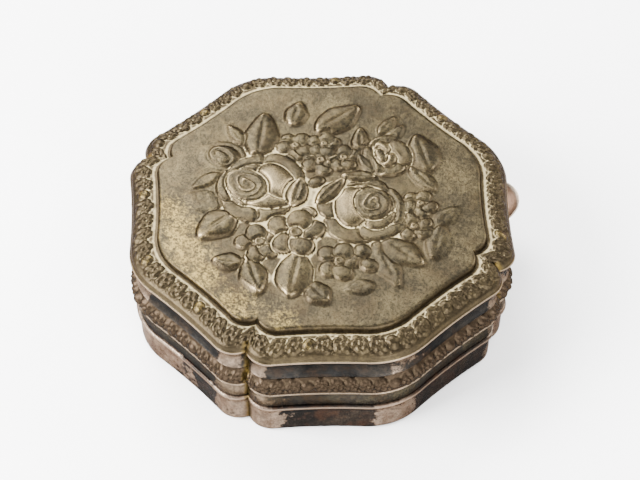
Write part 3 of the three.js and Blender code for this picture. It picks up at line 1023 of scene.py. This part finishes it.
# Gives the eye brown-black metal with large pinkish patches where the plate is worn through.
TRAY_FINISH = WornPlate("silver_plate_worn_to_pink", "302a26", "443a30", "111111", "8a7868",
                        residue="ddd3b8", gilt_and_sheen="6c5a48", corroded="33241b", edge="8b837b", dark_share=0.85,
                        residue_share=0.05, corroded_share=0.65, rubbed_share=1.0, pitted=0.7, roughness=0.34,
                        metallic=0.9)

# Gives the eye a warm skin tone among the greys, rubbed pale at its tip by thumbs.
COPPER_FINISH = WornPlate("copper_bare_and_rubbed", "6e5440", "7e6450", "46362c", "aca294", gilt_and_sheen="9a7656",
                          dark_share=0.5, residue_share=0.0, rubbed_share=0.4, roughness=0.38)


# The pieces

class Slot(Enum):
    """The record's material slots."""

    TRAY = "tray_silver_plate"
    BAND = "band_silver_plate"
    COVER = "cover_silver_plate"
    THUMB = "thumb_bare_copper"


class Surface:
    """The points of a piece, where they stand on the box, and the marks that its material reads."""

    def __init__(self, piece: bpy.types.Object) -> None:
        """Reads the points.

        Args:
            piece: the plain piece.
        """
        self.piece = piece
        self.places = read_places(piece)
        self.x, self.y, self.z = self.places.T.copy()
        self.inset, self.along, self.from_notch = RIM.measure(self.places)
        self.marks = {name: np.zeros(len(self.z)) for name in MARKS}

    def mark_outline(self) -> None:
        """Marks the shoulders of the notches, the round corners and the notches themselves."""
        shoulder_at, shoulder_half, corner_half, notch_half = 4.8, 5.0, 7.0, 1.15
        shoulders = np.exp(-((self.from_notch - shoulder_at) / shoulder_half) ** 2)
        corners = 0.75 * np.exp(-((self.from_notch - RIM.length() / 8) / corner_half) ** 2)
        self.marks["shoulder"] = np.maximum(shoulders, corners)
        self.marks["notch"] = np.exp(-(self.from_notch / notch_half) ** 4)

    def push_out(self, raised: np.ndarray) -> None:
        """Moves the points away from the box's axis.

        Args:
            raised: how far each point goes, in millimetres.
        """
        length = np.maximum(np.hypot(self.x, self.y), 1)
        self.places[:, 0] += self.x / length * raised
        self.places[:, 1] += self.y / length * raised

    def dress(self, finish: WornPlate, node: str,
              sides: WornPlate | None = None) -> bpy.types.Object:
        """Writes the points and marks back, and puts the shaded piece in its node's place.

        Args:
            finish: its finish.
            node: the CAD node that it stands for.
            sides: the finish of what lies below the rim, where it differs.

        Returns:
            The finished piece.
        """
        piece = self.piece
        write_places(piece, self.places)
        for name, shares in self.marks.items():
            attribute = piece.data.attributes.new(name, "FLOAT", "POINT")
            attribute.data.foreach_set("value", np.clip(shares, 0, 1).astype(np.float32))
        bpy.ops.object.select_all(action="DESELECT")
        piece.select_set(True)
        bpy.context.view_layer.objects.active = piece
        bpy.ops.object.shade_smooth_by_angle(angle=SHARP_ANGLE)
        piece.data.materials.clear()
        piece.data.materials.append(finish.make())
        if sides is not None:
            piece.data.materials.append(sides.make())
            heights = np.array([face.center[2] for face in piece.data.polygons]) / MM
            flags = (heights < SIZES.flange_foot + 0.8).astype(np.int32)
            piece.data.polygons.foreach_set("material_index", flags)
        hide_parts(node)
        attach(piece, "root")
        triangles = sum(len(face.vertices) - 2 for face in piece.data.polygons)
        log.info("%s: %d triangles, finish %s", piece.name, triangles, finish.name)
        return piece


@dataclass
class LidCover:
    """The top of the lid: neck, rim, flower border, groove and the panel with its bouquet.

    Attributes:
        steps: points around it.
        border: the row of flowers around the panel.
        gilt_and_sheen_spots: x, y and radius of the golden patches on the panel, which are partly a painted
            sheen on its lit side, in millimetres.
        groove_polish: how full of dried polish the groove is.
        panel_edge_shade: how dark the painted shadow along the panel's edge is.
        lip_wear_and_highlight: how far the rim's lip is lightened, partly as wear and partly as a painted
            highlight.
    """

    steps: int = 1024
    border: FlowerBand = FlowerBand(width=5.8, flower=4.8, rise=0.7, seed=7)
    gilt_and_sheen_spots: tuple[tuple[float, float, float], ...] = (
        (-24, 33, 7), (-5, 38, 6), (5, 38, 7), (14, 37, 4), (-33, 24, 4), (-13, 37, 4))
    groove_polish: float = 0.56
    panel_edge_shade: float = 1.8
    lip_wear_and_highlight: float = 0.9

    def _levels(self) -> list[Level]:
        """The outer rings from the foot to the panel's middle.

        Returns:
            The rings, in order.
        """
        s = SIZES
        foot, neck, flange, panel = s.cover_foot, s.neck_inset, s.flange_foot, s.panel_inset
        levels = [
            Level(neck - 0.5, foot + 0.5),
            Level(neck - 0.1, foot + 1.0),
            Level(neck + 0.25, foot + 3.2, 1),
            Level(neck - 0.1, flange - 1.4, 1),
            Level(neck - 0.7, flange - 0.3),
            Level(0.35, flange),
            Level(0.02, flange + 0.35),
            Level(0.1, flange + 0.75),
            Level(0.35, flange + 0.95),
            Level(0.75, s.flange_top - 0.3, 1),
        ]
        for share in (0.0, 0.2, 0.4, 0.6, 0.8, 1.0):
            height = s.flange_top + s.border_rise * math.sin(math.pi / 2 * share)
            levels.append(Level(s.border_outer_inset + s.border_span * share, height, 3))
        return levels + [
            Level(panel - 1.0, s.groove_floor - 0.1, 1),
            Level(panel - 0.1, s.groove_floor),
            Level(panel + 0.15, s.panel_top - 0.3, 1),
            Level(panel + 0.5, s.panel_top),
            Level(panel + 1.2, s.panel_top + 0.001, halved=True),
            Level(RIM.half - 35, s.panel_top + 0.002, 10),
            Level(RIM.half - 14, s.panel_top + 0.003, 64),
            Level(RIM.half - 13.6, s.panel_top + 0.004, halved=True),
            Level(RIM.half - 0.4, s.panel_top + 0.005, 38),
        ]

    def build(self) -> bpy.types.Object:
        """Models the cover and dresses it.

        Returns:
            The piece.
        """
        s = SIZES
        wall = RingWall("lid_cover_repousse", self.steps, Level(s.neck_inset - 0.2, s.cover_foot))
        wall.grow(self._levels())
        wall.close_to_point()
        wall.pick(0)
        wall.grow([
            Level(s.neck_inset + s.wall, s.cover_foot + 0.01, halved=True),
            Level(s.neck_inset + s.wall, s.flange_top - s.top),
            Level(s.border_inner_inset, s.groove_floor - s.top),
            Level(s.panel_inset + 1.6, s.groove_floor - s.top + 0.01),
            Level(s.panel_inset + 2, s.panel_top - s.top),
            Level(RIM.half - 20, s.panel_top - s.top + 0.01, halved=True),
        ])
        wall.close_to_point()
        surface = Surface(wall.finish())
        surface.mark_outline()
        surface.marks["notch"] *= surface.z < s.flange_top + 0.4
        self._raise_bouquet(surface)
        self._raise_border(surface)
        return surface.dress(COVER_FINISH, "lid_cover", NECK_FINISH)

    def _raise_bouquet(self, surface: Surface) -> None:
        """Raises the bouquet, with polish between its leaves, painted shade along their steep flanks, crests
        lightened partly as wear and partly as a painted highlight, and golden patches beside it that are
        partly a painted sheen.

        Args:
            surface: the cover's points, which are moved and marked.
        """
        s, marks, x, y = SIZES, surface.marks, surface.x, surface.y
        relief = bouquet_map()
        # Blurs in millimetres, for the cast form itself and for what is compared with it
        cast, soft, wide, broad = 0.16, 0.55, 1.3, 3.5
        height = relief.read(cast, x, y)
        flat = (surface.inset > s.panel_inset + 0.1) & (surface.z > s.panel_top - 0.01)
        spread = np.hypot(x, y) / (RIM.half - s.panel_inset)
        sway = 0.12 * np.sin(x / 9 + 1.3) * np.cos(y / 11 - 0.4) * np.clip(1.2 - spread, 0, 1)
        surface.places[:, 2] += (s.panel_crown * np.clip(1 - spread ** 2, 0, 1) + height + sway) * flat

        pit = relief.read(wide, x, y) - relief.read(0, x, y)
        crowd = np.clip((relief.read(broad, x, y) - 0.42) * 3, 0, 1)
        marks["gap"] += np.clip(pit * 2.1 - 0.34, 0, 1) * crowd * np.clip(1.5 - 0.55 * height, 0.4, 1) * flat
        # Crests are lightened, partly as wear and partly as a painted highlight; the tallest tops get more.
        tops = np.clip((height - 1.25) * 0.9, 0, 0.5)
        marks["crest"] += np.clip((height - relief.read(soft, x, y)) * 4 + tops, 0, 1) * flat
        # Painted shade: the steep flanks of the forms are darkened, which draws a dark outline around each of
        # them.
        steep = np.hypot(*np.gradient(relief.softened(0.25), relief.cell))
        marks["dirt_and_shade"] += np.clip(relief.sample(steep, x, y) * 2.2 - 1.0, 0, 1.6) * flat
        # Golden patches along the panel's lit edge, partly a painted sheen.
        panel = (surface.inset > s.panel_inset + 0.1) & (surface.z > s.panel_top - 0.32)
        for spot_x, spot_y, size in self.gilt_and_sheen_spots:
            marks["gilt_and_sheen"] += np.exp(-((x - spot_x) ** 2 + (y - spot_y) ** 2) / size ** 2) * panel

    def _raise_border(self, surface: Surface) -> None:
        """Raises the flowers around the panel and marks the groove, the panel's edge and the lip.

        Args:
            surface: the cover's points, which are moved and marked.
        """
        s, marks, inset, z = SIZES, surface.marks, surface.inset, surface.z
        width = self.border.width
        across = inset - s.border_outer_inset + 0.45
        rows = (across > 0) & (across < width) & (z > s.flange_top - 0.5)
        raised, valley, crest = self.border.read(surface.along, across)
        raised *= np.clip((across - 0.35) / 0.8, 0, 1) * np.clip((width - across) / 0.2, 0, 1) * rows
        quarter = np.clip(math.pi / 2 * across / s.border_span, 0, math.pi / 2)
        slope = np.arctan(s.border_rise * math.pi / 2 / s.border_span * np.cos(quarter))
        surface.push_out(raised * np.sin(slope))
        surface.places[:, 2] += raised * np.cos(slope)

        outside = z > s.flange_foot - 0.2
        groove = outside & (inset > s.border_inner_inset + 0.3) & (inset < s.panel_inset - 0.5)
        lip = outside & (z < s.flange_foot + 0.9)
        inwards = np.clip(2.2 * across / width - 1.2, 0, 1)
        marks["gap"][rows] = np.clip(valley * 1.7 - 0.2 + 0.5 * inwards, 0, 0.8)[rows]
        marks["gap"][groove] = self.groove_polish
        # The flowers' crests and the rim's lip are lightened, partly as wear and partly as a painted
        # highlight.
        marks["crest"][rows] = np.clip(crest * 1.9, 0, 1)[rows]
        marks["crest"][lip] = self.lip_wear_and_highlight
        # The smooth balls of the border are painted golden, partly as a highlight.
        gold_and_sheen = np.zeros(len(z))
        for angle in self.border.balls:
            away = np.hypot(surface.along - RIM.along_at(angle), across - width * 0.52)
            gold_and_sheen += 1.4 * np.exp(-(away / 1.5) ** 4) * rows
        marks["gilt_and_sheen"] += gold_and_sheen
        # Painted shade with dirt: the border darkens towards its outer, steeper slope, less on the balls.
        marks["dirt_and_shade"] += (1.25 - 0.6 * across / width) * rows * (1 - 0.6 * np.clip(gold_and_sheen, 0, 1))
        marks["dirt_and_shade"] += 0.9 * (outside & (inset < 0.7) & ~lip)
        # Painted shadow: a dark line along the wall at the panel's edge.
        marks["dirt_and_shade"][outside & (np.abs(inset - s.panel_inset + 0.05) < 0.4)] = self.panel_edge_shade


@dataclass
class LidBand:
    """The deep side of the lid: a plain strip under a bulging flower moulding.

    Attributes:
        steps: points around it.
        moulding: its row of flowers.
        rib_share: height of the rib under the flowers, as a share of the band's.
        bulge_share: height of the widest place of the moulding, likewise.
        rib_wear_and_highlight: how far the rib is lightened, partly as wear and partly as a painted
            highlight.
        dark_brown: how strongly the flowers are darkened, most in their hollows.
    """

    steps: int = 1024
    moulding: FlowerBand = FlowerBand(width=5.8, flower=4.3, rise=0.95, seed=23)
    rib_share: float = 0.47
    bulge_share: float = 0.72
    rib_wear_and_highlight: float = 0.8
    dark_brown: float = 1.35

    def build(self) -> bpy.types.Object:
        """Models the band and dresses it.

        Returns:
            The piece.
        """
        s = SIZES
        seam, bulge, inner = s.seam_inset, s.band_bulge_inset, s.seam_inset + s.wall
        foot = s.band_foot + s.band_height * self.rib_share
        middle = s.band_foot + s.band_height * self.bulge_share
        wall = RingWall("lid_band_moulded", self.steps, Level(seam + 0.3, s.band_foot))
        wall.grow([
            Level(seam, s.band_foot + 0.4),
            Level(seam + 0.2, foot - 0.7, 1),
            Level(seam - 0.5, foot - 0.45),
            Level(seam - 0.75, foot - 0.1),
            Level(seam - 0.55, foot + 0.2),
            Level(bulge + 0.55, (foot + middle) / 2, 6),
            Level(bulge + 0.4, middle, 6),
            Level(bulge + 0.55, (middle + s.band_top) / 2, 6),
            Level(seam + 0.1, s.band_top, 4),
            Level(inner, s.band_top - 0.01),
            Level(inner, s.band_foot + 0.01),
        ])
        wall.bridge(0, len(wall.levels) - 1)
        surface = Surface(wall.finish())
        surface.mark_outline()
        marks, z = surface.marks, surface.z
        outer = surface.inset < inner - 0.3
        rows = outer & (z > foot + 0.2)
        across = np.clip(z - foot - 0.2, 0, self.moulding.width)
        raised, valley, crest = self.moulding.read(surface.along, across)
        surface.push_out(raised * np.clip(across / 0.4, 0, 1) * np.clip((s.band_top - z) / 0.5, 0, 1) * rows)
        marks["gap"] = np.clip(valley * 2, 0, 1) * rows
        marks["crest"] = np.clip(crest * 0.7, 0, 1) * rows
        # The rib under the flowers is lightened, partly as wear and partly as a painted highlight.
        marks["crest"][outer & (np.abs(z - foot + 0.1) < 0.3)] = self.rib_wear_and_highlight
        marks["notch"] *= outer
        # The flowers are darkened, most in their hollows.
        marks["dirt_and_shade"] = self.dark_brown * rows
        return surface.dress(BAND_FINISH, "lid_band")


@dataclass
class Tray:
    """The shallow tray with its lip and the bezel that holds the lid.

    Attributes:
        steps: points around it.
        worn_spots: where the plate is worn through: the share of the way round from +X, half the
            length in millimetres and the strength.
        lip_wear_and_highlight: how far the lip is lightened, partly as wear and partly as a painted
            highlight.
    """

    steps: int = 512
    worn_spots: tuple[tuple[float, float, float], ...] = ((0.255, 16, 1.0), (0.5, 9, 0.5), (0.36, 9, 0.5))
    lip_wear_and_highlight: float = 0.8

    def build(self) -> bpy.types.Object:
        """Models the tray and dresses it.

        Returns:
            The piece.
        """
        s = SIZES
        foot, lip, brim = s.tray_foot_inset, s.tray_lip_inset, s.tray_height
        outer = s.seam_inset + s.wall + s.bezel_clearance
        inner = outer + s.bezel_thickness
        wall = RingWall("tray_plain", self.steps, Level(foot + 1.2, 0.0))
        wall.grow([
            Level(foot + 0.45, 0.12),
            Level(foot + 0.08, 0.55),
            Level(foot, 1.1),
            Level(foot - 0.1, brim * 0.45, 2),
            Level(foot - 0.3, brim - 1.7, 2),
            Level(lip + 0.35, brim - 1.35),
            Level(lip + 0.02, brim - 1.0),
            Level(lip, brim - 0.5),
            Level(lip + 0.2, brim - 0.12),
            Level(lip + 0.6, brim),
            Level(outer, brim + 0.01),
            Level(outer, brim + s.bezel_rise - 0.2),
            Level(outer + 0.25, brim + s.bezel_rise),
            Level(inner, brim + s.bezel_rise - 0.01),
            Level(inner, s.floor + 0.8),
            Level(inner + 0.9, s.floor),
            Level(RIM.half - 30, s.floor + 0.01, 3, halved=True),
            Level(RIM.half - 3, s.floor + 0.02, 3),
        ])
        wall.close_to_point()
        wall.pick(0)
        wall.grow([Level(RIM.half - 30, 0.01, 3, halved=True), Level(RIM.half - 3, 0.02, 3)])
        wall.close_to_point()
        surface = Surface(wall.finish())
        surface.mark_outline()
        marks = surface.marks
        for turn, reach, boost in self.worn_spots:
            away = (surface.along / RIM.length() - turn + 0.5) % 1 - 0.5
            marks["shoulder"] += boost * np.exp(-(away * RIM.length() / reach) ** 2)
        side = (surface.inset < outer - 0.4) & (surface.z > 0.1)
        marks["shoulder"] *= side
        marks["notch"] *= side
        # The lip is lightened, partly as wear and partly as a painted highlight.
        marks["crest"][side & (np.abs(surface.z - brim + 0.75) < 0.45)] = self.lip_wear_and_highlight
        return surface.dress(TRAY_FINISH, "tray")


@dataclass
class ThumbPiece:
    """The scooped copper lip that lifts the lid, in millimetres.

    Attributes:
        width: width at its root.
        reach: how far it stands out.
        thickness: thickness of the sheet.
        lift: how far its tip curls up.
        hollow: depth of the scoop.
        root: height of its root over the band's foot.
        rounding: how far its edges are rounded.
    """

    width: float = 15.0
    reach: float = 7.4
    thickness: float = 1.1
    lift: float = 2.2
    hollow: float = 0.45
    root: float = 1.4
    rounding: float = 0.35

    def build(self) -> bpy.types.Object:
        """Bends a subdivided plate to the lip's shape and dresses it.

        Returns:
            The piece.
        """
        bpy.ops.object.select_all(action="DESELECT")
        bpy.ops.mesh.primitive_cube_add(size=2 * MM)
        piece = bpy.context.active_object
        piece.name = "thumb_piece_copper"
        bpy.ops.object.mode_set(mode="EDIT")
        bpy.ops.mesh.select_all(action="SELECT")
        bpy.ops.mesh.bevel(offset=self.rounding * MM, segments=3)
        bpy.ops.mesh.subdivide(number_cuts=5)
        bpy.ops.object.mode_set(mode="OBJECT")
        share = read_places(piece)
        across, outwards = np.clip(share[:, 0], -1, 1), (share[:, 1] + 1) / 2
        x = across * self.width / 2
        drop = RIM.corner_radius - np.sqrt(RIM.corner_radius ** 2 - x ** 2)
        reach = self.reach * np.sqrt(1 - (0.96 * across) ** 2) + drop * 0.6
        y = drop - (RIM.half - SIZES.seam_inset + SIZES.seam_gap) - reach * outwards
        scoop = self.hollow * (1 - across ** 2) * np.sin(np.pi * outwards) * (share[:, 2] > 0)
        low = SIZES.band_foot + self.root + self.lift * outwards ** 2
        write_places(piece, np.c_[x, y, low + self.thickness * (share[:, 2] + 1) / 2 - scoop])
        bpy.ops.object.mode_set(mode="EDIT")
        bpy.ops.mesh.select_all(action="SELECT")
        bpy.ops.mesh.normals_make_consistent(inside=False)
        bpy.ops.object.mode_set(mode="OBJECT")
        surface = Surface(piece)
        surface.marks["crest"] = np.clip(outwards * 4 - 3, 0, 1)
        return surface.dress(COPPER_FINISH, "thumb_piece")


# Studio

@dataclass(frozen=True)
class Studio:
    """A pale floor, soft lights and the camera at the photograph's angle, in millimetres.

    Attributes:
        stand: where the camera stands.
        aim: the point that it looks at.
        roll: its roll in degrees.
        lens: its focal length.
        sky: strength of the white world.
        floor_width: width of the floor in metres.
        lights: name, place, width and power in watts of each soft light.
    """

    stand: tuple[float, float, float] = (-444.3, 194.8, 573.7)
    aim: tuple[float, float, float] = (1.31, -0.58, 18.0)
    roll: float = 1.22
    lens: float = 156.8
    sky: float = 1.55
    floor_width: float = 6.0
    lights: tuple[tuple[str, tuple[float, float, float], float, float], ...] = (
        ("window", (60, 620, 420), 520, 38.0),
        ("overhead", (620, 20, 620), 520, 23.0),
        ("front_card", (-620, -40, 260), 420, 10.0),
        ("right_card", (120, -640, 380), 420, 7.0),
    )

    def build(self) -> None:
        """Makes the floor, the lights and the camera."""
        bpy.ops.object.select_all(action="DESELECT")
        bpy.ops.mesh.primitive_plane_add(size=self.floor_width, location=(0, 0, -0.2 * MM))
        floor = bpy.context.active_object
        floor.name = "floor"
        # Gives the eye an even white ground that takes a soft shadow
        paper = bpy.data.materials.new("paper_white_matt")
        paper.use_nodes = True
        shader = paper.node_tree.nodes["Principled BSDF"]
        shader.inputs["Base Color"].default_value = linear("ffffff")
        shader.inputs["Roughness"].default_value = 0.9
        floor.data.materials.append(paper)
        world = bpy.data.worlds.new("studio")
        world.use_nodes = True
        sky = world.node_tree.nodes["Background"]
        sky.inputs["Color"].default_value = linear("ffffff")
        sky.inputs["Strength"].default_value = self.sky
        bpy.context.scene.world = world
        for name, place, size, power in self.lights:
            self._light(name, place, size, power)
        camera = bpy.data.objects.new("camera", bpy.data.cameras.new("camera"))
        bpy.context.collection.objects.link(camera)
        camera.location = Vector(self.stand) * MM
        heading = (Vector(self.aim) - Vector(self.stand)).to_track_quat("-Z", "Y")
        camera.rotation_mode = "QUATERNION"
        camera.rotation_quaternion = heading @ Quaternion((0, 0, 1), math.radians(self.roll))
        camera.data.lens = self.lens
        camera.data.sensor_width = 36
        camera.data.clip_end = 10
        bpy.context.scene.camera = camera

    def _light(self, name: str, place: tuple[float, float, float], size: float, power: float) -> None:
        """Adds a soft light that faces the box.

        Args:
            name: its name.
            place: where it stands, in millimetres.
            size: its width in millimetres.
            power: in watts.
        """
        light = bpy.data.lights.new(name, "AREA")
        light.size = size * MM
        light.energy = power
        lamp = bpy.data.objects.new(name, light)
        bpy.context.collection.objects.link(lamp)
        lamp.location = Vector(place) * MM
        lamp.rotation_mode = "QUATERNION"
        lamp.rotation_quaternion = (-Vector(place)).to_track_quat("-Z", "Y")


def main() -> None:
    """Builds the studio and the pieces."""
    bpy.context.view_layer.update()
    Studio().build()
    for sub_assembly in (Tray(), LidBand(), LidCover(), ThumbPiece()):
        piece = sub_assembly.build()
        log.info("built %s", piece.name)


if __name__ == "__main__":
    main()
